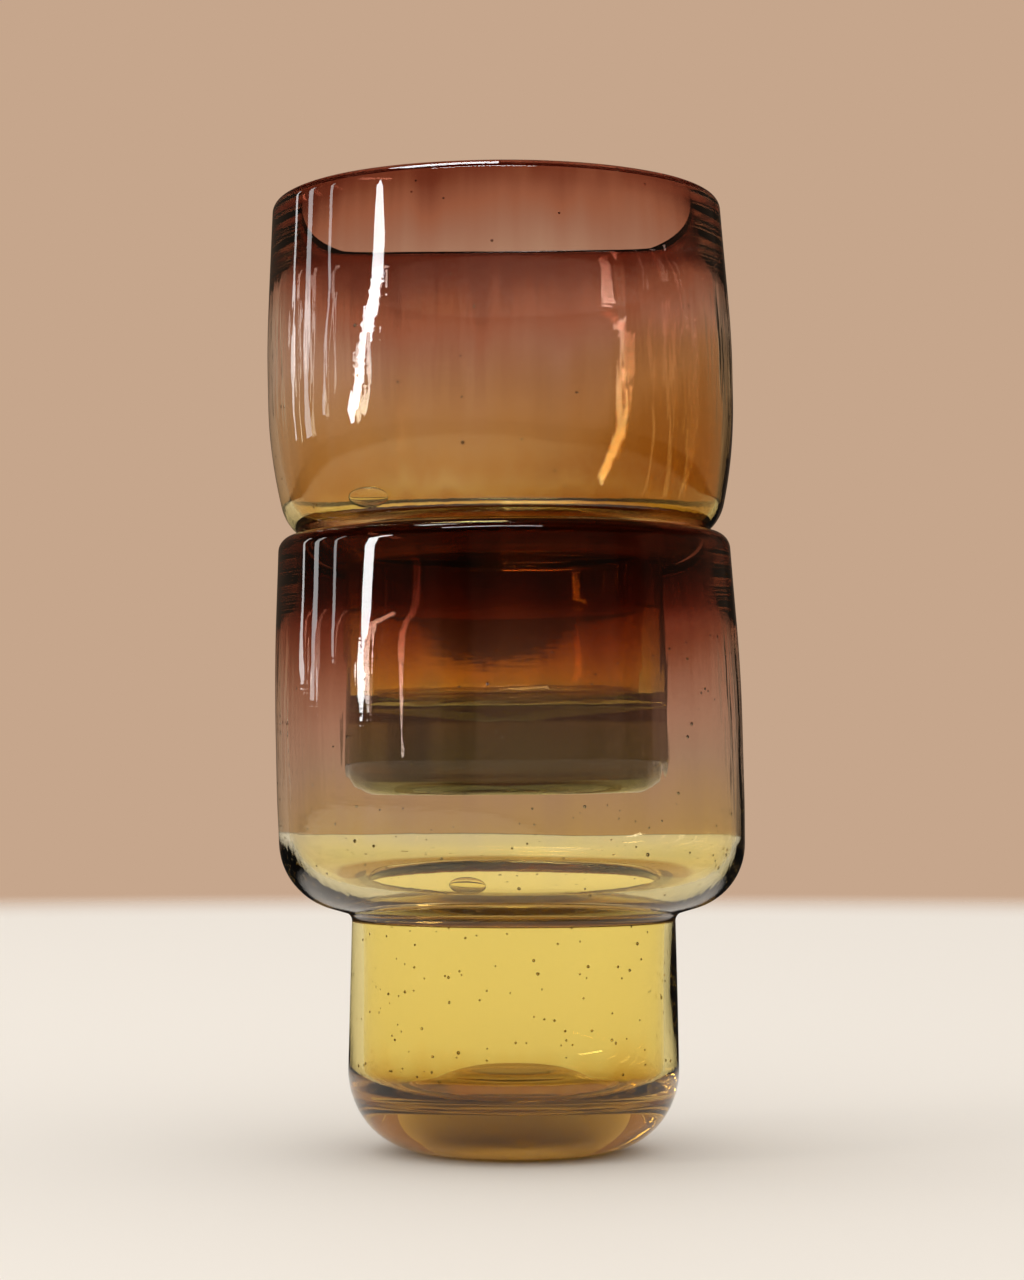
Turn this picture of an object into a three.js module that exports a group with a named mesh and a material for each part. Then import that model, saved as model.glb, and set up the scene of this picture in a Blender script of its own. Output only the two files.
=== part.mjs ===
// A pair of hand-blown stacking tumblers. Each is one piece of glass: a wide bowl on a narrower,
// heavy foot. The upper tumbler's foot hangs inside the lower tumbler's bowl, and its shoulder
// rests on the lower rim, so it lifts straight out.
// Millimetres, +Z up. The origin is the centre of the lower tumbler's standing face.
import * as THREE from "three";

// Facets round each tumbler, and the most that an arc of an outline turns or runs in one step.
const TURN_STEPS = 56;
const ARC_STEP = Math.PI / 12;
const ARC_RUN = 6;

// Clearance between the upper tumbler's shoulder and the rim that it rests on.
const SEAT_GAP = 0.3;

// The glass, as it is blown and fire-polished on both tumblers. Both bowls are blown to one radius.
const BOWL_RADIUS = 42;
const WALL = 2.1;
const LIP_DEPTH = 16;
const LIP_INNER_ROUND = 1;
const LIP_BLEND = 30;
const WAIST_ROUND = 1.4;
const MOUTH_ROUND = 3;
const NECK_DEPTH = 0.4;
const NECK_ROUND = 4;
const KICK_ROUND = 12;

// Each tumbler is made by eye, so the two have sizes of their own. Radii are outside radii.
// The foot radius is that of its wall carried down to the standing face, and the waist is where
// the foot meets the bowl. The bowl turns up at the shoulder, is upright from the haunch, and draws
// in towards the rim from the belly; insets are taken off the bowl's radius. Inside, the glass is
// thickest in a ring under the bowl and at the neck, and again down at the heel. The kick is the mound
// that the punty leaves in the floor, or the dish where its height is below zero, from its middle out
// to its foot. The lean carries the rim sideways, and the rim slope lifts one side.
const LOWER = {
  height: 109.9,
  footRadius: 30,
  waistRadius: 29.1,
  waistHeight: 41.7,
  shoulderInset: 0.4,
  shoulderHeight: 45.4,
  shoulderRound: 12.3,
  haunchHeight: 62,
  haunchRound: 240,
  bellyHeight: 83,
  bellyRound: 420,
  rimInset: 1.4,
  lipRound: 3.2,
  lipWidth: 4.3,
  shoulderWall: 2.6,
  neckWall: 4.2,
  footWall: 2.1,
  heelWall: 3.2,
  baseRound: 14,
  baseThickness: 9.6,
  floorRound: 9,
  kickHeight: 4.4,
  kickTop: 10,
  kickFoot: 19.5,
  lean: -1.8,
  rimSlope: 0.0095,
};
const UPPER = {
  height: 107.1,
  footRadius: 29.5,
  waistRadius: 28.9,
  waistHeight: 43,
  shoulderInset: 3.1,
  shoulderHeight: 47.1,
  shoulderRound: 11,
  haunchHeight: 61,
  haunchRound: 110,
  bellyHeight: 80.3,
  bellyRound: 190,
  rimInset: 1.6,
  lipRound: 2.6,
  lipWidth: 4.2,
  shoulderWall: 1.9,
  neckWall: 2.1,
  footWall: 2.5,
  heelWall: 5.8,
  baseRound: 6.5,
  baseThickness: 15.2,
  floorRound: 3,
  kickHeight: -2.4,
  kickTop: 3,
  kickFoot: 19,
  lean: -0.85,
  rimSlope: 0,
};

const LOWER_COLOUR = 0xb9925c;
const UPPER_COLOUR = 0x9c6246;
const GLOSS = 0.05;

// Where a straight wall from one point to another stands at a height.
function radiusAt(height, below, above) {
  const share = (height - below[1]) / (above[1] - below[1]);
  return below[0] + (above[0] - below[0]) * share;
}

// The half outline of a tumbler as corners [radius, height, rounding], from the middle of the
// standing face out, up the outside, over the lip and down the inside to the middle of the floor.
function tumblerCorners(glass) {
  const foot = [glass.footRadius, 0];
  const waist = [glass.waistRadius, glass.waistHeight];
  const shoulder = [BOWL_RADIUS - glass.shoulderInset, glass.shoulderHeight];
  const haunch = [BOWL_RADIUS, glass.haunchHeight];
  const belly = [BOWL_RADIUS, glass.bellyHeight];
  const rim = [BOWL_RADIUS - glass.rimInset, glass.height];
  const lipFoot = glass.height - LIP_DEPTH;
  const bowlFloor = glass.shoulderHeight + glass.shoulderWall;
  const neckFoot = glass.waistHeight - NECK_DEPTH;
  const floor = glass.baseThickness;
  const kick = glass.baseThickness + glass.kickHeight;
  const outside = [
    [0, 0, 0],
    [...foot, glass.baseRound],
    [...waist, WAIST_ROUND],
    [...shoulder, glass.shoulderRound],
    [...haunch, glass.haunchRound],
    [...belly, glass.bellyRound],
    [...rim, glass.lipRound],
  ];
  const inside = [
    [rim[0] - glass.lipWidth, glass.height, LIP_INNER_ROUND],
    [radiusAt(lipFoot, belly, rim) - WALL, lipFoot, LIP_BLEND],
    [BOWL_RADIUS - WALL, glass.bellyHeight, glass.bellyRound],
    [BOWL_RADIUS - WALL, glass.haunchHeight, glass.haunchRound],
    [radiusAt(bowlFloor, shoulder, haunch) - WALL, bowlFloor, glass.shoulderRound - WALL],
    [glass.waistRadius - glass.neckWall, glass.waistHeight + glass.shoulderWall, MOUTH_ROUND],
    [radiusAt(neckFoot, foot, waist) - glass.footWall, neckFoot, NECK_ROUND],
    [radiusAt(floor, foot, waist) - glass.heelWall, floor, glass.floorRound],
    [glass.kickFoot, floor, KICK_ROUND],
    [glass.kickTop, kick, KICK_ROUND],
    [0, kick, 0],
  ];
  return [...outside, ...inside];
}

// The corners as points, with each rounding as an arc. Two roundings that would meet on one
// straight are both drawn in until they share it.
function roundedOutline(corners) {
  const points = corners.map(([radius, height]) => new THREE.Vector2(radius, height));
  const spans = points.slice(1).map((point, i) => point.distanceTo(points[i]));
  const ways = points.map((point, i) => {
    const before = points[i - 1] ?? point;
    const after = points[i + 1] ?? point;
    return [before.clone().sub(point).normalize(), after.clone().sub(point).normalize()];
  });
  const turns = ways.map(([back, on]) => {
    const atEnd = back.lengthSq() === 0 || on.lengthSq() === 0;
    return atEnd ? 0 : Math.PI - Math.acos(THREE.MathUtils.clamp(back.dot(on), -1, 1));
  });
  const reaches = corners.map(([, , rounding], i) => rounding * Math.tan(turns[i] / 2));
  const fitted = reaches.map((reach, i) => {
    const shares = [1];
    if (i > 0) shares.push(spans[i - 1] / (reaches[i - 1] + reach || 1));
    if (i < spans.length) shares.push(spans[i] / (reach + reaches[i + 1] || 1));
    return reach * Math.min(...shares.filter((share) => share > 0));
  });
  return points.flatMap((corner, i) => {
    if (!(fitted[i] > 0)) return [corner];
    const [back, on] = ways[i];
    const radius = fitted[i] / Math.tan(turns[i] / 2);
    const toCentre = back.clone().add(on).setLength(radius / Math.cos(turns[i] / 2));
    const centre = corner.clone().add(toCentre);
    const start = corner.clone().addScaledVector(back, fitted[i]);
    const sweep = Math.sign(on.clone().cross(back)) * turns[i];
    const steps = Math.ceil(Math.max(turns[i] / ARC_STEP, (turns[i] * radius) / ARC_RUN));
    return Array.from({ length: steps + 1 }, (_, k) =>
      start.clone().rotateAround(centre, (sweep * k) / steps),
    );
  });
}

// The heights at which an outline stands over a radius.
function heightsOver(outline, radius) {
  const heights = [];
  for (let i = 1; i < outline.length; i += 1) {
    const [a, b] = [outline[i - 1], outline[i]];
    if (radius < Math.min(a.x, b.x) || radius > Math.max(a.x, b.x)) continue;
    const share = a.x === b.x ? 0 : (radius - a.x) / (b.x - a.x);
    heights.push(a.y + (b.y - a.y) * share, a.x === b.x ? b.y : a.y + (b.y - a.y) * share);
  }
  return heights;
}

// How high the upper tumbler's standing face is held by what it first meets as it is put in.
function seatHeight(lowerOutline, upperOutline) {
  const radii = [...lowerOutline, ...upperOutline].map((point) => point.x);
  const lifts = radii.map((radius) => {
    const top = Math.max(...heightsOver(lowerOutline, radius));
    const bottom = Math.min(...heightsOver(upperOutline, radius));
    return top - bottom;
  });
  return Math.max(...lifts.filter(Number.isFinite)) + SEAT_GAP;
}

// A turned solid whose bowl leans, and whose rim slopes, in proportion to the height over the waist.
function blownGlass(outline, glass) {
  const solid = new THREE.LatheGeometry(outline, TURN_STEPS);
  solid.rotateX(Math.PI / 2);
  const place = solid.getAttribute("position");
  const bowlHeight = glass.height - glass.waistHeight;
  for (let i = 0; i < place.count; i += 1) {
    const [across, height] = [place.getX(i), place.getZ(i)];
    const share = Math.max(height - glass.waistHeight, 0) / bowlHeight;
    place.setX(i, across + glass.lean * share);
    place.setZ(i, height + glass.rimSlope * across * share);
  }
  solid.computeVertexNormals();
  return solid;
}

function tumbler(name, outline, glass, colour) {
  const material = new THREE.MeshStandardMaterial({ color: colour, roughness: GLOSS, metalness: 0 });
  const mesh = new THREE.Mesh(blownGlass(outline, glass), material);
  mesh.name = name;
  return mesh;
}

const lowerOutline = roundedOutline(tumblerCorners(LOWER));
const upperOutline = roundedOutline(tumblerCorners(UPPER));

const lowerTumbler = tumbler("lower_tumbler", lowerOutline, LOWER, LOWER_COLOUR);
const upperTumbler = tumbler("upper_tumbler", upperOutline, UPPER, UPPER_COLOUR);

// The upper tumbler stands square on the lower rim, which slopes, so it tips about the rim's centre.
const drop = LOWER.height - seatHeight(lowerOutline, upperOutline);
const tip = Math.atan(LOWER.rimSlope);
upperTumbler.rotation.y = -tip;
upperTumbler.position.set(LOWER.lean + drop * Math.sin(tip), 0, LOWER.height - drop * Math.cos(tip));

const stack = new THREE.Group();
stack.add(lowerTumbler, upperTumbler);

export default stack;
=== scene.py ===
"""A pair of hand-blown stacking tumblers, dressed in seeded glass on a pale table."""
import math

import bpy
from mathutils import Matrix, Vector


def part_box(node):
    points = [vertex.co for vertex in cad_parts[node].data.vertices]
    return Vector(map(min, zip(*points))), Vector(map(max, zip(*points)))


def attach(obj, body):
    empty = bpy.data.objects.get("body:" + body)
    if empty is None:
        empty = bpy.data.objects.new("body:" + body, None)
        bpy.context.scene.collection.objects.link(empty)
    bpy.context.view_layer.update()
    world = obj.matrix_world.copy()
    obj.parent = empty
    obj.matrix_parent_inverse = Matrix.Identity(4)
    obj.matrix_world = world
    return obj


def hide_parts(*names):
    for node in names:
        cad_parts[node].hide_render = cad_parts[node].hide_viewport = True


bl_info = {
    "name": "Stacking tumblers",
    "version": (1, 0, 0),
    "blender": (4, 5, 0),
    "location": "3D View > Sidebar > Tumblers",
    "description": "Blows a pair of stacking tumblers and sets them on a pale table",
    "category": "Add Mesh",
}

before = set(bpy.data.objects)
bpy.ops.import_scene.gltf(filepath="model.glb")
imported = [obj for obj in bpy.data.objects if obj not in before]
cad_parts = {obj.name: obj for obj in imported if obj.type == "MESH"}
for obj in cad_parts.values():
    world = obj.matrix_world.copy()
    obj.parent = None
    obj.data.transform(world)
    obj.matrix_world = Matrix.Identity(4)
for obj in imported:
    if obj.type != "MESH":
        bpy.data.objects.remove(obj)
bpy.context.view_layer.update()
UPPER_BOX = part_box("upper_tumbler")

MM = 0.001


def length(label, words, millimetres):
    """A size that the panel shows, given in millimetres."""
    return bpy.props.FloatProperty(
        name=label, description=words, default=millimetres * MM, unit="LENGTH", precision=5
    )


def colour(label, words, hex_code):
    """A colour that the panel shows, given as six hex digits."""
    return bpy.props.FloatVectorProperty(
        name=label, description=words, default=linear(hex_code), subtype="COLOR", size=3, min=0, max=1
    )


def linear(hex_code):
    """An sRGB colour, written as six hex digits, as linear red, green and blue."""
    shares = [int(hex_code[i : i + 2], 16) / 255 for i in (0, 2, 4)]
    return [s / 12.92 if s <= 0.04045 else ((s + 0.055) / 1.055) ** 2.4 for s in shares]


# Sizes and colours that a user would change

class GlassmakingSettings(bpy.types.PropertyGroup):
    """What both tumblers share, as they are blown and fire-polished."""

    wall: length("Wall", "Thickness of the blown wall", 2.1)
    lip_depth: length("Lip depth", "How far down the thick lip reaches", 16)
    lip_inner_round: length("Inner lip round", "Rounding of the lip's inner edge", 1)
    lip_blend: length("Lip blend", "Rounding from the lip into the wall", 30)
    waist_round: length("Waist round", "Rounding between foot and bowl, outside", 1.4)
    mouth_round: length("Mouth round", "Rounding between foot and bowl, inside", 3)
    neck_depth: length("Neck depth", "How far down the foot the neck's ring reaches", 0.4)
    neck_round: length("Neck round", "Rounding from the neck's ring into the foot's wall", 4)
    kick_round: length("Kick round", "Rounding of the mound or dish in the floor", 12)
    wave_depth: length("Wave depth", "Depth of the slow waves in the surface", 0.35)
    wave_length: length("Wave length", "Distance between the slow waves", 34)
    seed_radius: length("Seed radius", "Radius of the largest small bubbles", 0.34)


class LowerTumblerSettings(bpy.types.PropertyGroup):
    """Sizes of the lower tumbler, whose radii are outside radii."""

    height: length("Height", "Standing face to rim", 109.9)
    foot_radius: length("Foot radius", "The foot's wall carried down to the table", 30)
    waist_radius: length("Waist radius", "Where the foot meets the bowl", 29.1)
    waist_height: length("Waist height", "Height at which the foot meets the bowl", 41.7)
    shoulder_radius: length("Shoulder radius", "Where the bowl turns up", 41.6)
    shoulder_height: length("Shoulder height", "Height at which the bowl turns up", 45.4)
    shoulder_round: length("Shoulder round", "Rounding of that turn", 12.3)
    haunch_height: length("Haunch height", "Height from which the bowl is upright", 62)
    haunch_round: length("Haunch round", "Rounding into the upright wall", 240)
    bowl_radius: length("Bowl radius", "The upright wall's radius", 42)
    belly_height: length("Belly height", "Height from which the bowl draws in", 83)
    belly_round: length("Belly round", "Rounding of the belly", 420)
    rim_radius: length("Rim radius", "Outside radius at the rim", 40.6)
    lip_round: length("Lip round", "Rounding of the lip's outer edge", 3.2)
    lip_width: length("Lip width", "Thickness of the glass at the rim", 4.3)
    base_round: length("Base round", "Rounding round the standing face", 14)
    base_thickness: length("Base thickness", "Glass under the floor", 9.6)
    shoulder_wall: length("Shoulder wall", "Thickness of the ring under the bowl", 2.6)
    neck_wall: length("Neck wall", "Thickness of the foot's wall at the neck", 4.2)
    foot_wall: length("Foot wall", "Thickness of the foot's wall under the neck", 2.1)
    heel_wall: length("Heel wall", "Thickness of the foot's wall at the floor", 3.2)
    floor_round: length("Floor round", "Rounding between floor and wall, inside", 9)
    kick_height: length("Kick height", "Height of the mound in the floor", 4.4)
    kick_top: length("Kick top", "Radius of the mound's top", 10)
    kick_foot: length("Kick foot", "Radius of the mound's foot", 19.5)
    lean: length("Lean", "How far the rim is carried sideways", -1.8)
    rim_slope: bpy.props.FloatProperty(name="Rim slope", description="Rise of the rim", default=0.0095)


class UpperTumblerSettings(bpy.types.PropertyGroup):
    """Sizes of the upper tumbler, whose radii are outside radii."""

    height: length("Height", "Standing face to rim", 107.1)
    foot_radius: length("Foot radius", "The foot's wall carried down to the base", 29.5)
    waist_radius: length("Waist radius", "Where the foot meets the bowl", 28.9)
    waist_height: length("Waist height", "Height at which the foot meets the bowl", 43)
    shoulder_radius: length("Shoulder radius", "Where the bowl turns up", 38.9)
    shoulder_height: length("Shoulder height", "Height at which the bowl turns up", 47.1)
    shoulder_round: length("Shoulder round", "Rounding of that turn", 11)
    haunch_height: length("Haunch height", "Height from which the bowl is upright", 61)
    haunch_round: length("Haunch round", "Rounding into the upright wall", 110)
    bowl_radius: length("Bowl radius", "The upright wall's radius", 42)
    belly_height: length("Belly height", "Height from which the bowl draws in", 80.3)
    belly_round: length("Belly round", "Rounding of the belly", 190)
    rim_radius: length("Rim radius", "Outside radius at the rim", 40.4)
    lip_round: length("Lip round", "Rounding of the lip's outer edge", 2.6)
    lip_width: length("Lip width", "Thickness of the glass at the rim", 4.2)
    base_round: length("Base round", "Rounding round the base", 6.5)
    base_thickness: length("Base thickness", "Glass under the floor", 15.2)
    shoulder_wall: length("Shoulder wall", "Thickness of the ring under the bowl", 1.9)
    neck_wall: length("Neck wall", "Thickness of the foot's wall at the neck", 2.1)
    foot_wall: length("Foot wall", "Thickness of the foot's wall under the neck", 2.5)
    heel_wall: length("Heel wall", "Thickness of the foot's wall at the floor", 5.8)
    floor_round: length("Floor round", "Rounding between floor and wall, inside", 3)
    kick_height: length("Kick height", "Height of the floor's middle, which is dished", -2.4)
    kick_top: length("Kick top", "Radius of the dish's bottom", 3)
    kick_foot: length("Kick foot", "Radius of the dish's edge", 19)
    lean: length("Lean", "How far the rim is carried sideways", -0.85)
    rim_slope: bpy.props.FloatProperty(name="Rim slope", description="Rise of the rim", default=0.0)


class StudioSettings(bpy.types.PropertyGroup):
    """The table, the backdrop and the lamps."""

    table: colour("Table", "Colour of the pale table", "efe5d8")
    backdrop: colour("Backdrop", "Colour behind the tumblers", "c6a68c")
    room_floor: colour("Room floor", "Colour below the backdrop, past the table", "54504c")
    ambient: bpy.props.FloatProperty(name="Ambient", description="Soft light all round", default=1.1, min=0)
    window: bpy.props.FloatProperty(
        name="Window", description="Light of the tall window, in watts", default=4, min=0
    )


# Each tumbler's tint, as the colour that one wall lets through at a height in millimetres over its own base
LOWER_BANDS = (
    (0, "e6b634"),
    (9, "f2d074"),
    (16, "fbeeac"),
    (42, "fbf0b2"),
    (49, "fdf3c2"),
    (56, "f2eaca"),
    (68, "ebe2dc"),
    (76, "ebd9d4"),
    (84, "dfc2b8"),
    (90, "c99a88"),
    (97, "ab6d5b"),
    (106, "522619"),
)
UPPER_BANDS = (
    (0, "cacaa6"),
    (12, "cacaa4"),
    (18, "ffdc70"),
    (26, "ecc06c"),
    (33, "d2ae66"),
    (40, "c8a05c"),
    (45, "eccf90"),
    (48, "fff2b4"),
    (52, "f2d38a"),
    (58, "edd095"),
    (64, "f0d9b2"),
    (72, "f6e8de"),
    (80, "f3e0d8"),
    (86, "e4cac0"),
    (92, "d5ab9e"),
    (96, "cf937d"),
    (101.5, "9c5a49"),
    (105.5, "84402f"),
)

# How each skin lies: the bands' rise per length across and back, the share of the colour that moves to the
# inside of the bowl, the heights of a dark ring of painted shade that stands in for the dark line refraction
# draws at a thick junction, the tint poured over one side of the bowl and the colour of the glass under the
# skin
LOWER_LOOK = {
    "bands": LOWER_BANDS,
    "tilt": (-0.03, 0.0),
    "lining": 0.35,
    "ring": (40.8 * MM, 43.2 * MM),
    "pour": "ffffff",
    "body": "c7ab00",
}
UPPER_LOOK = {
    "bands": UPPER_BANDS,
    "tilt": (-0.04, 0.1),
    "lining": 0.5,
    "ring": (12.6 * MM, 15.2 * MM),
    "pour": "e5d0a0",
    "body": "768427",
}

# Colour of the skin. Streaks and clouds carry the bands up and down; pairs are the start and end of a change.
STREAK_WIDTH = 5 * MM
STREAK_LENGTH = 70 * MM
STREAK_LIFT = 5 * MM
CLOUD_WIDTH = 28 * MM
CLOUD_LIFT = 6 * MM
POUR_SIDE = (-14 * MM, 32 * MM)
POUR_TOP = (74 * MM, 64 * MM)
POUR_SLOPE = -0.28
# A dark ring of painted shade, standing in for a dark line that refraction draws, and the blur of its edges
PAINTED_SHADE_TINT = "99733f"
PAINTED_SHADE_BLUR = 0.4 * MM
LINED_FROM = (44 * MM, 56 * MM)
LIP_POLISH = (12 * MM, 26 * MM)
RIM_EDGE = (5 * MM, 1 * MM)
RIM_LINING = 1.4
BODY_DENSITY = 30.0

# Surface of the glass: its upright lines, the ripples that lie across them, and its gloss
LINE_WIDTH = 3.5 * MM
LINE_LENGTH = 25 * MM
LINE_DEPTH = 0.1 * MM
RIPPLE_WIDTH = 6 * MM
RIPPLE_HEIGHT = 1.1 * MM
RIPPLE_DEPTH = 0.01 * MM
FULL_LINES = (56 * MM, 72 * MM)
FOOT_LINES = 0.15
GLASS_ROUGHNESS = 0.01
GLASS_IOR = 1.52

# How finely a tumbler is turned, where its waves die out, and how the seeds differ
FACETS_ROUND = 192
ARC_STEPS = 18
LONGEST_STEP = 1.4 * MM
WELD_DISTANCE = 1e-6
WAVE_FADE = (1 * MM, 9 * MM)
INSIDE_WAVE_OFFSET = 7.0
OUTSIDE_ONLY = 0.01
SEED_DEPTHS = (0.7, 1.3)
SEED_SIZES = (0.55, 1.0)
SEED_RARITY = 3.0

# The photograph's camera, found by fitting the outline
CAMERA_PLACE = (-0.33 * MM, -547.8 * MM, 67.05 * MM)
CAMERA_RISE = math.radians(2.49)
CAMERA_LENS = 85.78
SENSOR_WIDTH = 36

# The table, in metres: it fades out at its far edge, and nearer for what the glass mirrors
TABLE_RADIUS = 1.18
TABLE_FADE = 0.88
TABLE_MIRRORED = (0.1, 0.2)
TABLE_SIDES = 128
TABLE_DROP = -0.2 * MM
TABLE_ROUGHNESS = 0.7

# Upright lamps: name, degrees round from the front to the left, width, foot, top, slant in degrees and
# share of the window's light
WINDOW_LAMPS = (
    ("window", 67.5, 0.085, 0.115, 0.5, 45, 0.7),
    ("left_strip", 92, 0.04, 0.15, 0.6, 8, 0.06),
    ("middle_strip", 108, 0.08, 0.1, 0.6, 0, 0.11),
    ("right_strip", 121, 0.04, 0.12, 0.6, -8, 0.06),
)
WINDOW_DISTANCE = 1.2

# Lamps overhead: name, width, depth, watts, colour, place and tilt in degrees
CEILING_LAMPS = (
    ("skylight", 0.5, 0.4, 9, "f6fbff", (-0.25, 0.1, 1.2), 0),
    ("long_lamp", 0.7, 0.06, 2, "f3f7ff", (-0.1, -0.5, 1.0), 30),
)

# The room that the glass shows: a dark gap in each quarter turn, in degrees, a dim ceiling and a floor, by
# the height of the line of sight, and how dim it all is when mirrored
GAP_OPENS = (60, 65)
GAP_CLOSES = (81, 75)
GAP_LIGHT = 0.45
CEILING_RISE = (0.28, 0.5)
CEILING_LIGHT = 0.1
FLOOR_RISE = (-0.046, -0.056)
MIRRORED_LIGHT = 0.12


def add(tree, kind, links=None, **settings):
    """Adds a node with its settings, and links or fills the inputs that are named."""
    node = tree.nodes.new(kind)
    for name, value in settings.items():
        setattr(node, name, value)
    for socket, source in (links or {}).items():
        if isinstance(source, bpy.types.Node):
            source = source.outputs[0]
        if isinstance(source, bpy.types.NodeSocket):
            tree.links.new(source, node.inputs[socket])
        else:
            node.inputs[socket].default_value = source
    return node


# Shape of a tumbler

def tumbler_corners(glass, making):
    """The half outline as corners: radius, height, rounding and 0 outside or 1 inside."""
    def radius_at(height, below, above):
        share = (height - below[1]) / (above[1] - below[1])
        return below[0] + (above[0] - below[0]) * share

    foot = (glass.foot_radius, 0)
    waist = (glass.waist_radius, glass.waist_height)
    belly = (glass.bowl_radius, glass.belly_height)
    rim = (glass.rim_radius, glass.height)
    lip_foot = glass.height - making.lip_depth
    floor = glass.base_thickness
    kick = floor + glass.kick_height
    wall = making.wall
    ring = glass.shoulder_wall
    neck_foot = glass.waist_height - making.neck_depth
    shoulder = (glass.shoulder_radius, glass.shoulder_height)
    haunch = (glass.bowl_radius, glass.haunch_height)
    bowl_floor = glass.shoulder_height + ring
    outside = (
        (0, 0, 0),
        (*foot, glass.base_round),
        (*waist, making.waist_round),
        (*shoulder, glass.shoulder_round),
        (*haunch, glass.haunch_round),
        (*belly, glass.belly_round),
        (*rim, glass.lip_round),
    )
    inside = (
        (glass.rim_radius - glass.lip_width, glass.height, making.lip_inner_round),
        (radius_at(lip_foot, belly, rim) - wall, lip_foot, making.lip_blend),
        (glass.bowl_radius - wall, glass.belly_height, glass.belly_round),
        (glass.bowl_radius - wall, glass.haunch_height, glass.haunch_round),
        (radius_at(bowl_floor, shoulder, haunch) - wall, bowl_floor, glass.shoulder_round - wall),
        (glass.waist_radius - glass.neck_wall, glass.waist_height + ring, making.mouth_round),
        (radius_at(neck_foot, foot, waist) - glass.foot_wall, neck_foot, making.neck_round),
        (radius_at(floor, foot, waist) - glass.heel_wall, floor, glass.floor_round),
        (glass.kick_foot, floor, making.kick_round),
        (glass.kick_top, kick, making.kick_round),
        (0, kick, 0),
    )
    return [(*corner, 0.0) for corner in outside] + [(*corner, 1.0) for corner in inside]


def outline_mesh(name, corners):
    """The corners as a chain of edges that carries each corner's rounding and side."""
    mesh = bpy.data.meshes.new(name)
    places = [(radius, 0, height) for radius, height, _, _ in corners]
    mesh.from_pydata(places, [(i, i + 1) for i in range(len(places) - 1)], [])
    for at, label in ((2, "rounding"), (3, "inside")):
        values = mesh.attributes.new(label, "FLOAT", "POINT")
        values.data.foreach_set("value", [corner[at] for corner in corners])
    return mesh


TREE_INPUTS = (
    ("Outline", "NodeSocketGeometry"),
    ("Facets Round", "NodeSocketInt"),
    ("Arc Steps", "NodeSocketInt"),
    ("Longest Step", "NodeSocketFloat"),
    ("Waist Height", "NodeSocketFloat"),
    ("Rim Height", "NodeSocketFloat"),
    ("Lean", "NodeSocketFloat"),
    ("Rim Slope", "NodeSocketFloat"),
    ("Wave Depth", "NodeSocketFloat"),
    ("Wave Length", "NodeSocketFloat"),
    ("Seeds In Foot", "NodeSocketFloat"),
    ("Seeds In Bowl", "NodeSocketFloat"),
    ("Seed Radius", "NodeSocketFloat"),
    ("Seed Depth", "NodeSocketFloat"),
    ("Random Seed", "NodeSocketInt"),
    ("Blister Place", "NodeSocketVector"),
    ("Blister Turn", "NodeSocketVector"),
    ("Blister Size", "NodeSocketVector"),
    ("Seat Place", "NodeSocketVector"),
    ("Seat Tip", "NodeSocketVector"),
    ("Glass", "NodeSocketMaterial"),
)


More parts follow.
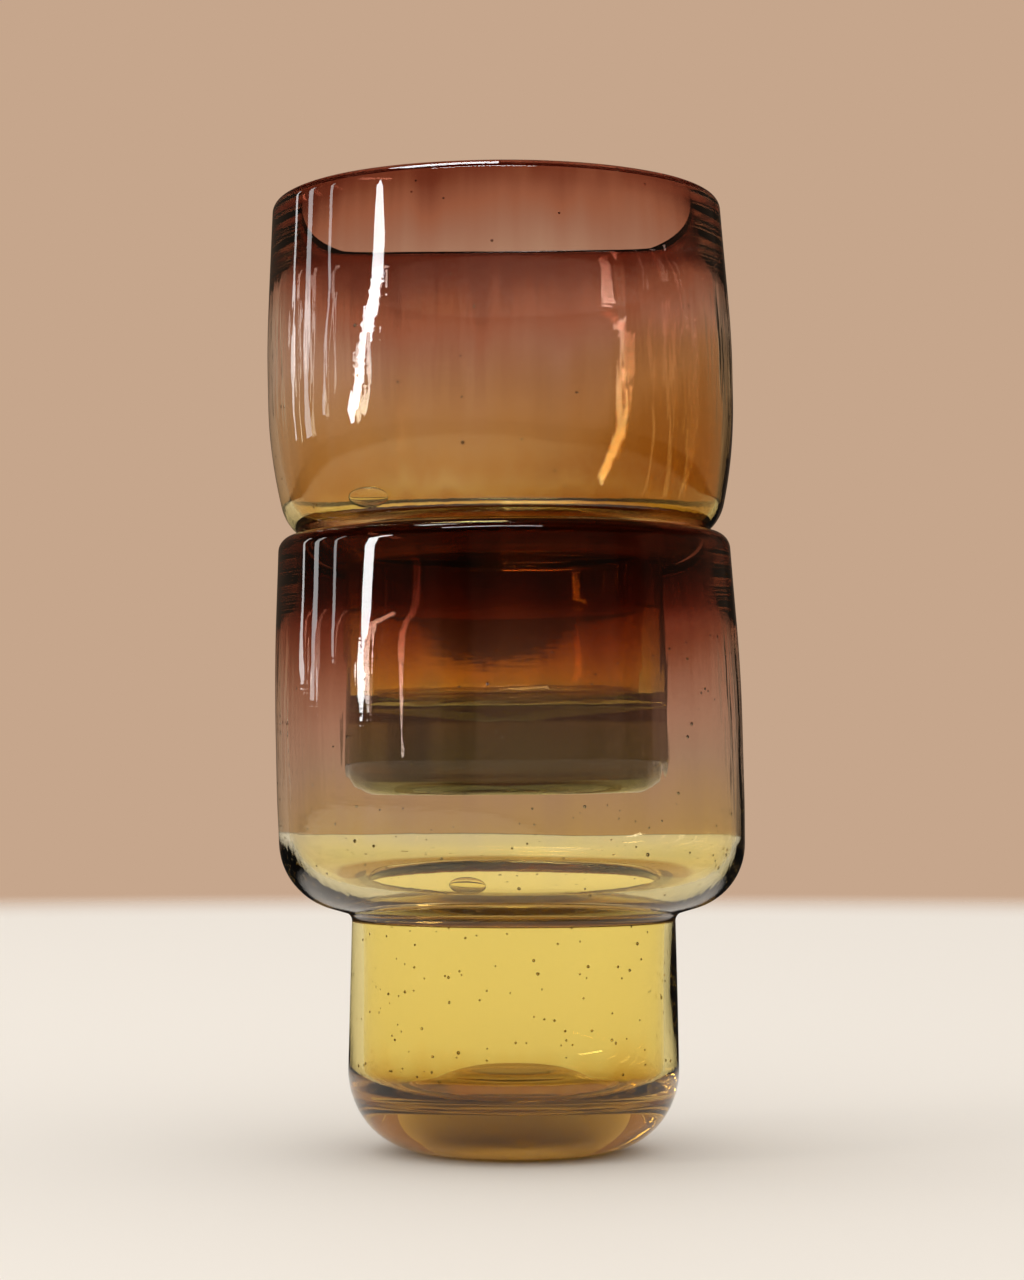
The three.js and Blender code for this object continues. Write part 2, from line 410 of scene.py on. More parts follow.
def tumbler_tree():
    """Turns an outline into a blown tumbler with seeds in its wall and one large blister."""
    tree = bpy.data.node_groups.new("blown_tumbler", "GeometryNodeTree")
    for name, kind in TREE_INPUTS:
        tree.interface.new_socket(name, in_out="INPUT", socket_type=kind)
    tree.interface.new_socket("Tumbler", in_out="OUTPUT", socket_type="NodeSocketGeometry")
    given = add(tree, "NodeGroupInput").outputs
    place = add(tree, "GeometryNodeInputPosition")
    index = add(tree, "GeometryNodeInputIndex")
    normal = add(tree, "GeometryNodeInputNormal")

    # The outline, with arcs at its corners and its straights cut into short steps
    chain = add(tree, "GeometryNodeMeshToCurve", {"Mesh": given["Outline"]})
    rounding = add(tree, "GeometryNodeInputNamedAttribute", {"Name": "rounding"}, data_type="FLOAT")
    arcs = add(
        tree,
        "GeometryNodeFilletCurve",
        {"Curve": chain, "Count": given["Arc Steps"], "Radius": rounding, "Limit Radius": True},
        mode="POLY",
    )
    after = add(tree, "FunctionNodeIntegerMath", {0: index, 1: 1}, operation="ADD")
    next_place = add(
        tree,
        "GeometryNodeFieldAtIndex",
        {"Value": place, "Index": after},
        data_type="FLOAT_VECTOR",
        domain="POINT",
    )
    span = add(tree, "ShaderNodeVectorMath", {0: place, 1: next_place}, operation="DISTANCE")
    steps = add(
        tree,
        "ShaderNodeMath",
        {0: span.outputs["Value"], 1: given["Longest Step"]},
        operation="DIVIDE",
    )
    cuts = add(tree, "ShaderNodeMath", {0: steps}, operation="FLOOR")
    outline = add(tree, "GeometryNodeSubdivideCurve", {"Curve": arcs, "Cuts": cuts})
    count = add(tree, "GeometryNodeAttributeDomainSize", {"Geometry": outline}, component="CURVE")

    # A grid that is wrapped round the axis: one column for each facet, one row for each outline point
    columns = add(tree, "FunctionNodeIntegerMath", {0: given["Facets Round"], 1: 1}, operation="ADD")
    grid = add(
        tree,
        "GeometryNodeMeshGrid",
        {"Size X": 1.0, "Size Y": 1.0, "Vertices X": columns, "Vertices Y": count.outputs["Point Count"]},
    )
    rows = count.outputs["Point Count"]
    column = add(tree, "FunctionNodeIntegerMath", {0: index, 1: rows}, operation="DIVIDE_FLOOR")
    row = add(tree, "FunctionNodeIntegerMath", {0: index, 1: rows}, operation="MODULO")
    point = add(
        tree,
        "GeometryNodeSampleIndex",
        {"Geometry": outline, "Value": place, "Index": row},
        data_type="FLOAT_VECTOR",
        domain="POINT",
    )
    side = add(tree, "GeometryNodeInputNamedAttribute", {"Name": "inside"}, data_type="FLOAT")
    point_side = add(
        tree,
        "GeometryNodeSampleIndex",
        {"Geometry": outline, "Value": side, "Index": row},
        data_type="FLOAT",
        domain="POINT",
    )
    sided = add(
        tree,
        "GeometryNodeStoreNamedAttribute",
        {"Geometry": grid, "Name": "inside", "Value": point_side},
        data_type="FLOAT",
        domain="POINT",
    )
    facet = add(tree, "ShaderNodeMath", {0: math.tau, 1: given["Facets Round"]}, operation="DIVIDE")
    angle = add(tree, "ShaderNodeMath", {0: column, 1: facet}, operation="MULTIPLY")
    across = add(tree, "ShaderNodeMath", {0: angle}, operation="COSINE")
    along = add(tree, "ShaderNodeMath", {0: angle}, operation="SINE")
    reach = add(tree, "ShaderNodeSeparateXYZ", {0: point})
    way = add(tree, "ShaderNodeCombineXYZ", {0: across, 1: along})
    ring = add(
        tree, "ShaderNodeVectorMath", {0: way, "Scale": reach.outputs["X"]}, operation="SCALE"
    )
    lift = add(tree, "ShaderNodeCombineXYZ", {2: reach.outputs["Z"]})
    turned_place = add(tree, "ShaderNodeVectorMath", {0: ring, 1: lift}, operation="ADD")
    wrapped = add(tree, "GeometryNodeSetPosition", {"Geometry": sided, "Position": turned_place})
    turned = add(tree, "GeometryNodeMergeByDistance", {"Geometry": wrapped, "Distance": WELD_DISTANCE})

    # Slow waves, cut into the glass and never proud of it, that die out towards the standing face
    wave_scale = add(tree, "ShaderNodeMath", {0: 1.0, 1: given["Wave Length"]}, operation="DIVIDE")
    wave_side = add(tree, "ShaderNodeMath", {0: side, 1: INSIDE_WAVE_OFFSET}, operation="MULTIPLY")
    wave = add(
        tree,
        "ShaderNodeTexNoise",
        {"Vector": place, "W": wave_side, "Scale": wave_scale, "Detail": 1.0},
        noise_dimensions="4D",
    )
    levels = add(tree, "ShaderNodeSeparateXYZ", {0: place})
    fade = add(
        tree,
        "ShaderNodeMapRange",
        {"Value": levels.outputs["Z"], "From Min": WAVE_FADE[0], "From Max": WAVE_FADE[1]},
        interpolation_type="SMOOTHSTEP",
    )
    depth = add(tree, "ShaderNodeMath", {0: wave, 1: fade}, operation="MULTIPLY")
    cut = add(tree, "ShaderNodeMath", {0: depth, 1: given["Wave Depth"]}, operation="MULTIPLY")
    inward = add(tree, "ShaderNodeMath", {0: cut, 1: -1.0}, operation="MULTIPLY")
    shift = add(tree, "ShaderNodeVectorMath", {0: normal, "Scale": inward}, operation="SCALE")
    waved = add(tree, "GeometryNodeSetPosition", {"Geometry": turned, "Offset": shift})

    # Seeds, as small hollows under the outer skin
    outer = add(
        tree, "FunctionNodeCompare", {0: side, 1: OUTSIDE_ONLY}, data_type="FLOAT", operation="LESS_THAN"
    )
    crowd = add(
        tree,
        "ShaderNodeMapRange",
        {
            "Value": levels.outputs["Z"],
            "From Min": given["Waist Height"],
            "From Max": given["Rim Height"],
            "To Min": given["Seeds In Foot"],
            "To Max": given["Seeds In Bowl"],
        },
        interpolation_type="SMOOTHSTEP",
    )
    spots = add(
        tree,
        "GeometryNodeDistributePointsOnFaces",
        {
            "Mesh": waved,
            "Selection": outer,
            "Density": crowd,
            "Seed": given["Random Seed"],
        },
        distribute_method="RANDOM",
    )
    seed_depth = add(
        tree,
        "FunctionNodeRandomValue",
        {2: SEED_DEPTHS[0], 3: SEED_DEPTHS[1], "Seed": given["Random Seed"]},
        data_type="FLOAT",
    )
    sunk = add(
        tree, "ShaderNodeMath", {0: seed_depth.outputs[1], 1: given["Seed Depth"]}, operation="MULTIPLY"
    )
    under = add(tree, "ShaderNodeMath", {0: sunk, 1: -1.0}, operation="MULTIPLY")
    seed_shift = add(
        tree, "ShaderNodeVectorMath", {0: spots.outputs["Normal"], "Scale": under}, operation="SCALE"
    )
    sunk_spots = add(tree, "GeometryNodeSetPosition", {"Geometry": spots, "Offset": seed_shift})
    ball = add(tree, "GeometryNodeMeshIcoSphere", {"Radius": given["Seed Radius"], "Subdivisions": 2})
    hollow = add(tree, "GeometryNodeFlipFaces", {"Mesh": ball})
    share = add(
        tree,
        "FunctionNodeRandomValue",
        {2: 0.0, 3: 1.0, "ID": index, "Seed": given["Random Seed"]},
        data_type="FLOAT",
    )
    rare = add(tree, "ShaderNodeMath", {0: share.outputs[1], 1: SEED_RARITY}, operation="POWER")
    size = add(
        tree, "ShaderNodeMapRange", {"Value": rare, "To Min": SEED_SIZES[0], "To Max": SEED_SIZES[1]}
    )
    seeds = add(
        tree,
        "GeometryNodeInstanceOnPoints",
        {"Points": sunk_spots, "Instance": hollow, "Scale": size},
    )

    # The blister, a flat oval hollow in the wall
    large_ball = add(tree, "GeometryNodeMeshIcoSphere", {"Radius": 1.0, "Subdivisions": 5})
    large_hollow = add(tree, "GeometryNodeFlipFaces", {"Mesh": large_ball})
    blister = add(
        tree,
        "GeometryNodeTransform",
        {
            "Geometry": large_hollow,
            "Translation": given["Blister Place"],
            "Rotation": given["Blister Turn"],
            "Scale": given["Blister Size"],
        },
    )
    joined = add(tree, "GeometryNodeJoinGeometry")
    for source in (waved, seeds, blister):
        tree.links.new(source.outputs[0], joined.inputs[0])
    solid = add(tree, "GeometryNodeRealizeInstances", {"Geometry": joined})

    # The lean of the bowl and the slope of the rim grow with the height over the waist
    bowl = add(
        tree,
        "ShaderNodeMapRange",
        {
            "Value": levels.outputs["Z"],
            "From Min": given["Waist Height"],
            "From Max": given["Rim Height"],
        },
    )
    lean = add(tree, "ShaderNodeMath", {0: bowl, 1: given["Lean"]}, operation="MULTIPLY")
    rise = add(
        tree, "ShaderNodeMath", {0: levels.outputs["X"], 1: given["Rim Slope"]}, operation="MULTIPLY"
    )
    slope = add(tree, "ShaderNodeMath", {0: rise, 1: bowl}, operation="MULTIPLY")
    leaning = add(tree, "ShaderNodeCombineXYZ", {0: lean, 2: slope})
    leant = add(tree, "GeometryNodeSetPosition", {"Geometry": solid, "Offset": leaning})
    seated = add(
        tree,
        "GeometryNodeTransform",
        {"Geometry": leant, "Translation": given["Seat Place"], "Rotation": given["Seat Tip"]},
    )
    smooth = add(tree, "GeometryNodeSetShadeSmooth", {"Geometry": seated})
    plain = add(tree, "GeometryNodeRealizeInstances", {"Geometry": smooth})
    coated = add(
        tree, "GeometryNodeSetMaterial", {"Geometry": plain, "Material": given["Glass"]}
    )
    add(tree, "NodeGroupOutput", {"Tumbler": coated})
    return tree


def made_piece(name, mesh, tree, values):
    """Runs the tree on the outline and keeps its result as a plain mesh object at the origin."""
    piece = bpy.data.objects.new(name, mesh)
    bpy.context.scene.collection.objects.link(piece)
    modifier = piece.modifiers.new("blow", "NODES")
    modifier.node_group = tree
    for item in tree.interface.items_tree:
        if item.in_out == "INPUT" and item.name in values:
            modifier[item.identifier] = values[item.name]
    graph = bpy.context.evaluated_depsgraph_get()
    made = bpy.data.meshes.new_from_object(piece.evaluated_get(graph), depsgraph=graph)
    piece.modifiers.clear()
    piece.data = made
    made.name = name
    bpy.data.meshes.remove(mesh)
    return piece


# Finish of the glass

def blown_glass(name, base, height, bands, tilt, lining, ring, pour, body):
    """Soda-lime glass with a thin coloured skin, blown and fire-polished.

    It is clear and sharply glossy. The skin fades from amethyst at the rim to amber at the foot,
    in upright streaks, and the tools leave faint ripples that comb the reflections.
    """
    material = bpy.data.materials.new(name)
    material.use_nodes = True
    tree = material.node_tree
    tree.nodes.clear()
    place = add(tree, "ShaderNodeTexCoord").outputs["Object"]
    parts = add(tree, "ShaderNodeSeparateXYZ", {0: place})

    # Upright streaks and soft clouds carry the colour up and down
    streak_place = add(
        tree,
        "ShaderNodeMapping",
        {"Vector": place, "Scale": (1 / STREAK_WIDTH, 1 / STREAK_WIDTH, 1 / STREAK_LENGTH)},
    )
    streak = add(tree, "ShaderNodeTexNoise", {"Vector": streak_place, "Scale": 1.0, "Detail": 2.0})
    cloud = add(tree, "ShaderNodeTexNoise", {"Vector": place, "Scale": 1 / CLOUD_WIDTH, "Detail": 1.0})
    streak_lift = add(
        tree, "ShaderNodeMapRange", {"Value": streak, "To Min": -STREAK_LIFT, "To Max": STREAK_LIFT}
    )
    cloud_lift = add(
        tree, "ShaderNodeMapRange", {"Value": cloud, "To Min": -CLOUD_LIFT, "To Max": CLOUD_LIFT}
    )
    across = add(
        tree,
        "ShaderNodeMath",
        {0: parts.outputs["X"], 1: tilt[0], 2: parts.outputs["Z"]},
        operation="MULTIPLY_ADD",
    )
    tilted = add(
        tree, "ShaderNodeMath", {0: parts.outputs["Y"], 1: tilt[1], 2: across}, operation="MULTIPLY_ADD"
    )
    streaked = add(tree, "ShaderNodeMath", {0: tilted, 1: streak_lift}, operation="ADD")
    clouded = add(tree, "ShaderNodeMath", {0: streaked, 1: cloud_lift}, operation="ADD")
    level = add(
        tree, "ShaderNodeMapRange", {"Value": clouded, "From Min": base, "From Max": base + height}
    )
    tint = add(tree, "ShaderNodeValToRGB", {0: level})
    ramp = tint.color_ramp
    while len(ramp.elements) < len(bands):
        ramp.elements.new(1.0)
    for element, (at, hex_code) in zip(ramp.elements, bands):
        element.position = at * MM / height
        element.color = (*linear(hex_code), 1)

    # The amber lies thicker on one side of the bowl
    pour_side = add(
        tree,
        "ShaderNodeMapRange",
        {"Value": parts.outputs["X"], "From Min": POUR_SIDE[0], "From Max": POUR_SIDE[1]},
        interpolation_type="SMOOTHSTEP",
    )
    pour_level = add(
        tree,
        "ShaderNodeMath",
        {0: parts.outputs["X"], 1: POUR_SLOPE, 2: clouded},
        operation="MULTIPLY_ADD",
    )
    pour_top = add(
        tree,
        "ShaderNodeMapRange",
        {"Value": pour_level, "From Min": base + POUR_TOP[0], "From Max": base + POUR_TOP[1]},
        interpolation_type="SMOOTHSTEP",
    )
    poured = add(tree, "ShaderNodeMath", {0: pour_side, 1: pour_top}, operation="MULTIPLY")
    skin = add(
        tree,
        "ShaderNodeMix",
        {"Factor": poured, "A": tint, "B": (*linear(pour), 1)},
        data_type="RGBA",
        blend_type="MULTIPLY",
    )

    # Painted shade: a dark ring multiplied into the skin, standing in for the dark line that refraction draws
    # at the thick junction of floor and wall, or of foot and bowl
    shade_ring_low, shade_ring_high = ring
    over = add(
        tree,
        "ShaderNodeMapRange",
        {
            "Value": parts.outputs["Z"],
            "From Min": base + shade_ring_low - PAINTED_SHADE_BLUR,
            "From Max": base + shade_ring_low + PAINTED_SHADE_BLUR,
        },
        interpolation_type="SMOOTHSTEP",
    )
    under = add(
        tree,
        "ShaderNodeMapRange",
        {
            "Value": parts.outputs["Z"],
            "From Min": base + shade_ring_high + PAINTED_SHADE_BLUR,
            "From Max": base + shade_ring_high - PAINTED_SHADE_BLUR,
        },
        interpolation_type="SMOOTHSTEP",
    )
    painted_shade_ring = add(tree, "ShaderNodeMath", {0: over, 1: under}, operation="MULTIPLY")
    shade_ringed_skin = add(
        tree,
        "ShaderNodeMix",
        {"Factor": painted_shade_ring, "A": skin.outputs["Result"], "B": (*linear(PAINTED_SHADE_TINT), 1)},
        data_type="RGBA",
        blend_type="MULTIPLY",
    )

    # Up the bowl more of the colour lies on the inside, so that edges stay clear. On the polished lip more of
    # it lies outside, but for the very rim.
    below_lip = add(
        tree,
        "ShaderNodeMapRange",
        {
            "Value": parts.outputs["Z"],
            "From Min": base + height - LIP_POLISH[0],
            "From Max": base + height - LIP_POLISH[1],
        },
        interpolation_type="SMOOTHSTEP",
    )
    inside = add(tree, "ShaderNodeAttribute", attribute_name="inside").outputs["Fac"]
    side = add(tree, "ShaderNodeMapRange", {"Value": inside, "To Min": -lining, "To Max": lining})
    in_bowl = add(
        tree,
        "ShaderNodeMapRange",
        {
            "Value": parts.outputs["Z"],
            "From Min": base + LINED_FROM[0],
            "From Max": base + LINED_FROM[1],
        },
        interpolation_type="SMOOTHSTEP",
    )
    inward = add(tree, "ShaderNodeMapRange", {"Value": below_lip, "To Min": -1.0, "To Max": 1.0})
    lined_bowl = add(tree, "ShaderNodeMath", {0: in_bowl, 1: inward}, operation="MULTIPLY")
    at_rim = add(
        tree,
        "ShaderNodeMapRange",
        {
            "Value": parts.outputs["Z"],
            "From Min": base + height - RIM_EDGE[0],
            "From Max": base + height - RIM_EDGE[1],
            "To Max": RIM_LINING,
        },
        interpolation_type="SMOOTHSTEP",
    )
    reach = add(tree, "ShaderNodeMath", {0: lined_bowl, 1: at_rim}, operation="ADD")
    share = add(tree, "ShaderNodeMath", {0: side, 1: reach, 2: 1.0}, operation="MULTIPLY_ADD")
    coat = add(tree, "ShaderNodeGamma", {"Color": shade_ringed_skin.outputs["Result"], "Gamma": share})

    # Upright lines, with ripples across them, on the upright wall and not on the polished lip
    line_place = add(
        tree,
        "ShaderNodeMapping",
        {"Vector": place, "Scale": (1 / LINE_WIDTH, 1 / LINE_WIDTH, 1 / LINE_LENGTH)},
    )
    lines = add(tree, "ShaderNodeTexNoise", {"Vector": line_place, "Scale": 1.0, "Detail": 2.0})
    ripple_place = add(
        tree,
        "ShaderNodeMapping",
        {"Vector": place, "Scale": (1 / RIPPLE_WIDTH, 1 / RIPPLE_WIDTH, 1 / RIPPLE_HEIGHT)},
    )
    ripples = add(tree, "ShaderNodeTexNoise", {"Vector": ripple_place, "Scale": 1.0, "Detail": 1.0})
    upright = add(
        tree,
        "ShaderNodeMapRange",
        {
            "Value": parts.outputs["Z"],
            "From Min": base + FULL_LINES[0],
            "From Max": base + FULL_LINES[1],
            "To Min": FOOT_LINES,
        },
        interpolation_type="SMOOTHSTEP",
    )
    line_strength = add(tree, "ShaderNodeMath", {0: upright, 1: below_lip}, operation="MULTIPLY")
    lined = add(
        tree, "ShaderNodeBump", {"Height": lines, "Distance": LINE_DEPTH, "Strength": line_strength}
    )
    rippled = add(
        tree,
        "ShaderNodeBump",
        {"Height": ripples, "Distance": RIPPLE_DEPTH, "Strength": line_strength, "Normal": lined},
    )
    glass = add(
        tree,
        "ShaderNodeBsdfPrincipled",
        {
            "Base Color": coat,
            "Roughness": GLASS_ROUGHNESS,
            "IOR": GLASS_IOR,
            "Transmission Weight": 1.0,
            "Normal": rippled,
        },
    )
    depth = add(
        tree, "ShaderNodeVolumeAbsorption", {"Color": (*linear(body), 1), "Density": BODY_DENSITY}
    )
    add(tree, "ShaderNodeOutputMaterial", {"Surface": glass, "Volume": depth})
    return material


def blow(name, glass, making, material, seat, tip, extra):
    """Blows one tumbler where it sits, with the seeds and the blister that extra gives."""
    corners = tumbler_corners(glass, making)
    mesh = outline_mesh(name, corners)
    tree = bpy.data.node_groups.get("blown_tumbler") or tumbler_tree()
    values = {
        "Facets Round": FACETS_ROUND,
        "Arc Steps": ARC_STEPS,
        "Longest Step": LONGEST_STEP,
        "Waist Height": glass.waist_height,
        "Rim Height": glass.height,
        "Lean": glass.lean,
        "Rim Slope": glass.rim_slope,
        "Wave Depth": making.wave_depth,
        "Wave Length": making.wave_length,
        "Seed Radius": making.seed_radius,
        "Seed Depth": making.wall / 2,
        "Seat Place": seat,
        "Seat Tip": (0.0, -tip, 0.0),
        "Glass": material,
        **extra,
    }
    return made_piece(name, mesh, tree, values)


class TUMBLERS_OT_blow_lower(bpy.types.Operator):
    """Blows the tumbler that stands on the table"""

    bl_idname = "tumblers.blow_lower"
    bl_label = "Blow lower tumbler"

    def execute(self, context):
        scene = context.scene
        glass = scene.lower_tumbler
        material = blown_glass("amber_to_amethyst_blown_glass", 0.0, glass.height, **LOWER_LOOK)
        piece = blow(
            "lower_blown_glass",
            glass,
            scene.glassmaking,
            material,
            (0.0, 0.0, 0.0),
            0.0,
            {
                "Seeds In Foot": 22000.0,
                "Seeds In Bowl": 4000.0,
                "Random Seed": 4,
                "Blister Place": (-7.5 * MM, -38.2 * MM, 48.4 * MM),
                "Blister Turn": (math.radians(33), 0.0, math.radians(-11)),
                "Blister Size": (3.1 * MM, 0.25 * MM, 1.7 * MM),
            },
        )
        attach(piece, "lower")
        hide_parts("lower_tumbler")
        return {"FINISHED"}


class TUMBLERS_OT_blow_upper(bpy.types.Operator):
    """Blows the tumbler that is stacked in the lower one"""

    bl_idname = "tumblers.blow_upper"
    bl_label = "Blow upper tumbler"

    def execute(self, context):
        scene = context.scene
        glass = scene.upper_tumbler
        making = scene.glassmaking
        lower = scene.lower_tumbler
        tip = math.atan(lower.rim_slope)
        seat_height = UPPER_BOX[0].z + (glass.foot_radius - glass.base_round) * math.sin(tip)
        drop = lower.height - seat_height
        seat = (lower.lean + drop * math.tan(tip), 0.0, seat_height)
        material = blown_glass(
            "amethyst_over_amber_blown_glass", seat_height, glass.height, **UPPER_LOOK
        )
        piece = blow(
            "upper_blown_glass",
            glass,
            making,
            material,
            seat,
            tip,
            {
                "Seeds In Foot": 3000.0,
                "Seeds In Bowl": 3500.0,
                "Random Seed": 11,
                "Blister Place": (-22.6 * MM, -31.1 * MM, 50.9 * MM),
                "Blister Turn": (math.radians(25), 0.0, math.radians(-36)),
                "Blister Size": (4.2 * MM, 0.25 * MM, 1.8 * MM),
            },
        )
        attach(piece, "upper")
        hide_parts("upper_tumbler")
        return {"FINISHED"}


# Stage

def set_camera(scene):
    """A camera at the photograph's height and distance, looking slightly up."""
    data = bpy.data.cameras.new("photo_camera")
    data.sensor_width = SENSOR_WIDTH
    data.lens = CAMERA_LENS
    data.clip_start = 0.01
    camera = bpy.data.objects.new("photo_camera", data)
    camera.location = CAMERA_PLACE
    camera.rotation_euler = (math.radians(90) + CAMERA_RISE, 0, 0)
    scene.collection.objects.link(camera)
    scene.camera = camera


def set_table(scene, studio):
    """A round top of limed wood, pale and dull, whose far edge stands where the photograph has it."""
    mesh = bpy.data.meshes.new("table")
    turns = [math.tau * i / TABLE_SIDES for i in range(TABLE_SIDES)]
    edge = [(TABLE_RADIUS * math.cos(turn), TABLE_RADIUS * math.sin(turn), TABLE_DROP) for turn in turns]
    mesh.from_pydata(edge, [], [range(TABLE_SIDES)])
    material = bpy.data.materials.new("limed_table")
    material.use_nodes = True
    shader = material.node_tree.nodes["Principled BSDF"]
    shader.inputs["Base Color"].default_value = (*studio.table, 1)
    shader.inputs["Roughness"].default_value = TABLE_ROUGHNESS
    tree = material.node_tree
    away = add(
        tree,
        "ShaderNodeVectorMath",
        {0: add(tree, "ShaderNodeTexCoord").outputs["Object"]},
        operation="LENGTH",
    )
    fade = add(
        tree,
        "ShaderNodeMapRange",
        {"Value": away.outputs["Value"], "From Min": TABLE_FADE, "From Max": TABLE_RADIUS},
        interpolation_type="SMOOTHSTEP",
    )
    far = add(
        tree,
        "ShaderNodeMapRange",
        {
            "Value": away.outputs["Value"],
            "From Min": TABLE_MIRRORED[0],
            "From Max": TABLE_MIRRORED[1],
        },
        interpolation_type="SMOOTHSTEP",
    )
    mirrored = add(
        tree,
        "ShaderNodeMath",
        {0: add(tree, "ShaderNodeLightPath").outputs["Is Reflection Ray"], 1: far},
        operation="MULTIPLY",
    )
    hidden = add(tree, "ShaderNodeMath", {0: fade, 1: mirrored}, operation="MAXIMUM")
    clear = add(tree, "ShaderNodeBsdfTransparent")
    shown = add(tree, "ShaderNodeMixShader", {0: hidden, 1: shader, 2: clear})
    tree.links.new(shown.outputs[0], tree.nodes["Material Output"].inputs["Surface"])
    mesh.materials.append(material)
    table = bpy.data.objects.new("table", mesh)
    scene.collection.objects.link(table)


def area_lamp(scene, name, wide, high, power):
    """Adds a lamp that the camera does not see."""
    data = bpy.data.lights.new(name, "AREA")
    data.shape = "RECTANGLE"
    data.size = wide
    data.size_y = high
    data.energy = power
    lamp = bpy.data.objects.new(name, data)
    lamp.visible_camera = False
    scene.collection.objects.link(lamp)
    return lamp


def set_lamps(scene, studio):
    """A slanted window to the left, thin ones behind it, and lamps overhead that only the gloss shows."""
    for name, turn, wide, low, high, slant, share in WINDOW_LAMPS:
        slope = math.radians(slant)
        lamp = area_lamp(scene, name, wide, (high - low) / math.cos(slope), studio.window * share)
        angle = math.radians(turn)
        across = -WINDOW_DISTANCE * math.sin(angle)
        along = -WINDOW_DISTANCE * math.cos(angle)
        lamp.location = (across, along, (low + high) / 2)
        lamp.rotation_euler = (math.radians(90), slope, -angle)
    for name, wide, deep, watts, hex_code, place, tilt in CEILING_LAMPS:
        lamp = area_lamp(scene, name, wide, deep, watts)
        lamp.data.color = linear(hex_code)
        lamp.location = place
        lamp.rotation_euler = (math.radians(tilt), 0, 0)
        lamp.visible_diffuse = False


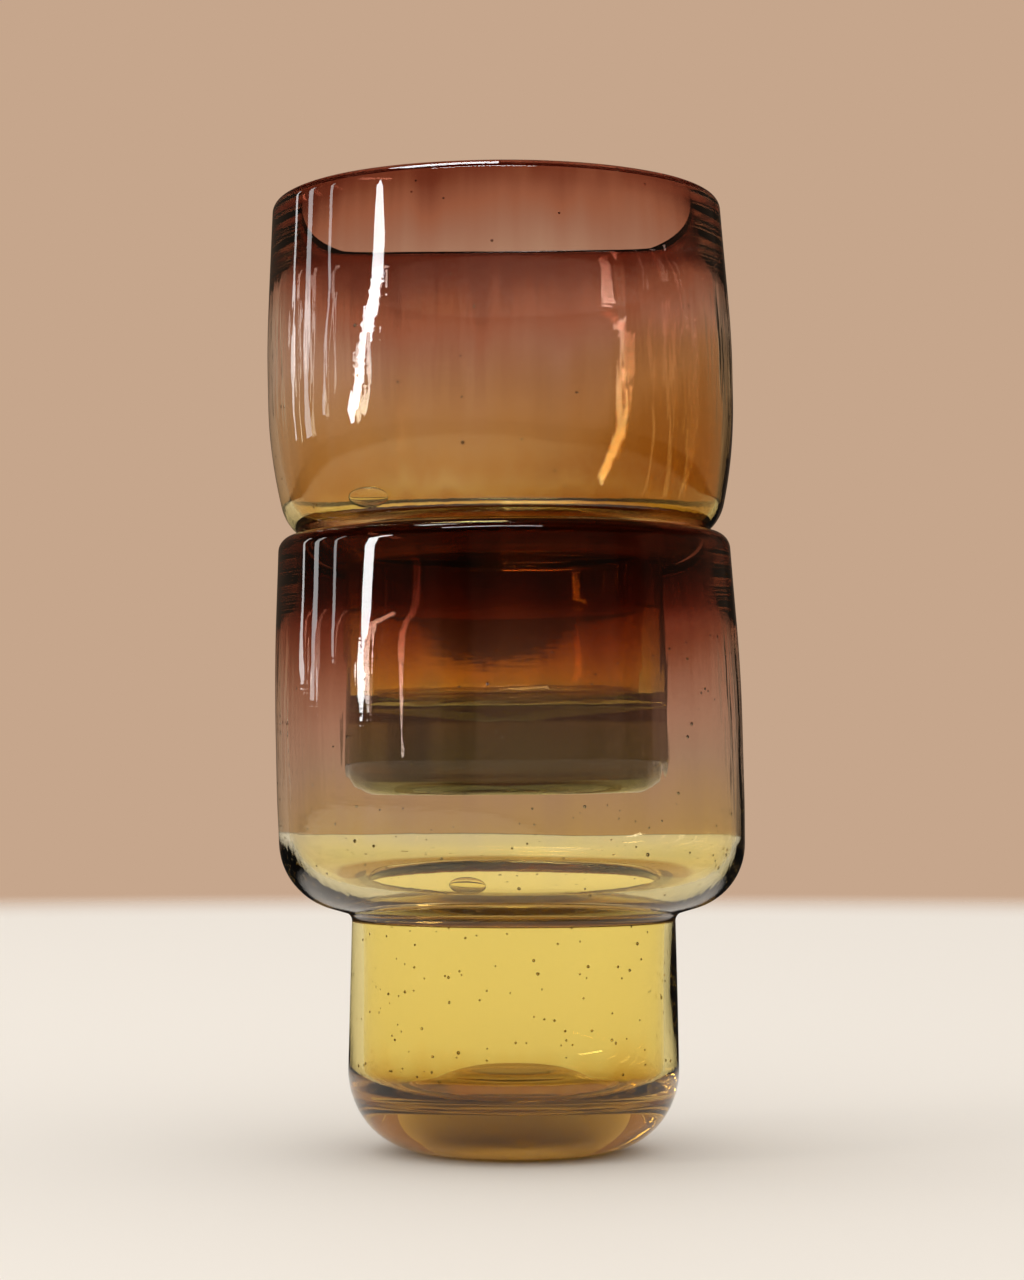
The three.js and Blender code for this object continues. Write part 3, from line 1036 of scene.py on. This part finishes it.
def set_world(scene, studio):
    """Soft light all round. The backdrop is plain to the eye, and has dark gaps for the glass to show."""
    world = bpy.data.worlds.new("studio")
    scene.world = world
    world.use_nodes = True
    tree = world.node_tree
    tree.nodes.clear()
    way = add(tree, "ShaderNodeSeparateXYZ", {0: add(tree, "ShaderNodeTexCoord").outputs["Generated"]})
    turn = add(
        tree, "ShaderNodeMath", {0: way.outputs["X"], 1: way.outputs["Y"]}, operation="ARCTAN2"
    )
    quarter = math.pi / 2
    shifted = add(tree, "ShaderNodeMath", {0: turn, 1: quarter / 2}, operation="ADD")
    folded = add(tree, "ShaderNodeMath", {0: shifted, 1: quarter}, operation="FLOORED_MODULO")
    opened = add(
        tree,
        "ShaderNodeMapRange",
        {"Value": folded, "From Min": math.radians(GAP_OPENS[0]), "From Max": math.radians(GAP_OPENS[1])},
        interpolation_type="SMOOTHSTEP",
    )
    closed = add(
        tree,
        "ShaderNodeMapRange",
        {"Value": folded, "From Min": math.radians(GAP_CLOSES[0]), "From Max": math.radians(GAP_CLOSES[1])},
        interpolation_type="SMOOTHSTEP",
    )
    shade = add(tree, "ShaderNodeMath", {0: opened, 1: closed}, operation="MULTIPLY")
    sides = add(tree, "ShaderNodeMapRange", {"Value": shade, "To Min": 1.0, "To Max": GAP_LIGHT})
    ceiling = add(
        tree,
        "ShaderNodeMapRange",
        {
            "Value": way.outputs["Z"],
            "From Min": CEILING_RISE[0],
            "From Max": CEILING_RISE[1],
            "To Min": 1.0,
            "To Max": CEILING_LIGHT,
        },
        interpolation_type="SMOOTHSTEP",
    )
    spread = add(tree, "ShaderNodeMath", {0: sides, 1: ceiling}, operation="MULTIPLY")
    path = add(tree, "ShaderNodeLightPath")
    mirrored = add(
        tree,
        "ShaderNodeMapRange",
        {"Value": path.outputs["Is Reflection Ray"], "To Min": 1.0, "To Max": MIRRORED_LIGHT},
    )
    level = add(tree, "ShaderNodeMath", {0: spread, 1: mirrored}, operation="MULTIPLY")
    under = add(
        tree,
        "ShaderNodeMapRange",
        {"Value": way.outputs["Z"], "From Min": FLOOR_RISE[0], "From Max": FLOOR_RISE[1]},
        interpolation_type="SMOOTHSTEP",
    )
    seen = add(
        tree,
        "ShaderNodeMath",
        {0: path.outputs["Is Glossy Ray"], 1: path.outputs["Is Transmission Ray"]},
        operation="ADD",
        use_clamp=True,
    )
    colour_shown = (*studio.backdrop, 1)
    plain = add(tree, "ShaderNodeBackground", {"Color": colour_shown, "Strength": 1.0})
    walls = add(tree, "ShaderNodeBackground", {"Color": colour_shown, "Strength": level})
    floor = add(tree, "ShaderNodeBackground", {"Color": (*studio.room_floor, 1), "Strength": mirrored})
    room = add(tree, "ShaderNodeMixShader", {0: under, 1: walls, 2: floor})
    soft = add(tree, "ShaderNodeBackground", {"Color": (1, 1, 1, 1), "Strength": studio.ambient})
    in_glass = add(tree, "ShaderNodeMixShader", {0: seen, 1: soft, 2: room})
    to_eye = add(
        tree, "ShaderNodeMixShader", {0: path.outputs["Is Camera Ray"], 1: in_glass, 2: plain}
    )
    add(tree, "ShaderNodeOutputWorld", {"Surface": to_eye})


class TUMBLERS_OT_set_stage(bpy.types.Operator):
    """Sets the camera, the table, the lamps and the backdrop"""

    bl_idname = "tumblers.set_stage"
    bl_label = "Set stage"

    def execute(self, context):
        scene = context.scene
        scene.view_settings.view_transform = "Standard"
        scene.cycles.max_bounces = 32
        scene.cycles.transmission_bounces = 32
        scene.cycles.glossy_bounces = 16
        set_camera(scene)
        set_table(scene, scene.studio)
        set_lamps(scene, scene.studio)
        set_world(scene, scene.studio)
        return {"FINISHED"}


class TUMBLERS_PT_panel(bpy.types.Panel):
    """Lists the sizes, the colours and the steps"""

    bl_idname = "TUMBLERS_PT_panel"
    bl_label = "Stacking tumblers"
    bl_space_type = "VIEW_3D"
    bl_region_type = "UI"
    bl_category = "Tumblers"

    def draw(self, context):
        for key, group in SETTINGS.items():
            box = self.layout.box()
            box.label(text=group.__doc__)
            for name in group.__annotations__:
                box.prop(getattr(context.scene, key), name)
        for step in STEPS:
            self.layout.operator(step.bl_idname)


SETTINGS = {
    "glassmaking": GlassmakingSettings,
    "lower_tumbler": LowerTumblerSettings,
    "upper_tumbler": UpperTumblerSettings,
    "studio": StudioSettings,
}
STEPS = (TUMBLERS_OT_set_stage, TUMBLERS_OT_blow_lower, TUMBLERS_OT_blow_upper)


def register():
    for kind in (*SETTINGS.values(), *STEPS, TUMBLERS_PT_panel):
        bpy.utils.register_class(kind)
    for key, group in SETTINGS.items():
        setattr(bpy.types.Scene, key, bpy.props.PointerProperty(type=group))


def unregister():
    for key in SETTINGS:
        delattr(bpy.types.Scene, key)
    for kind in (TUMBLERS_PT_panel, *STEPS, *SETTINGS.values()):
        bpy.utils.unregister_class(kind)


def main():
    register()
    bpy.ops.tumblers.set_stage()
    bpy.ops.tumblers.blow_lower()
    bpy.ops.tumblers.blow_upper()


if __name__ == "__main__":
    main()
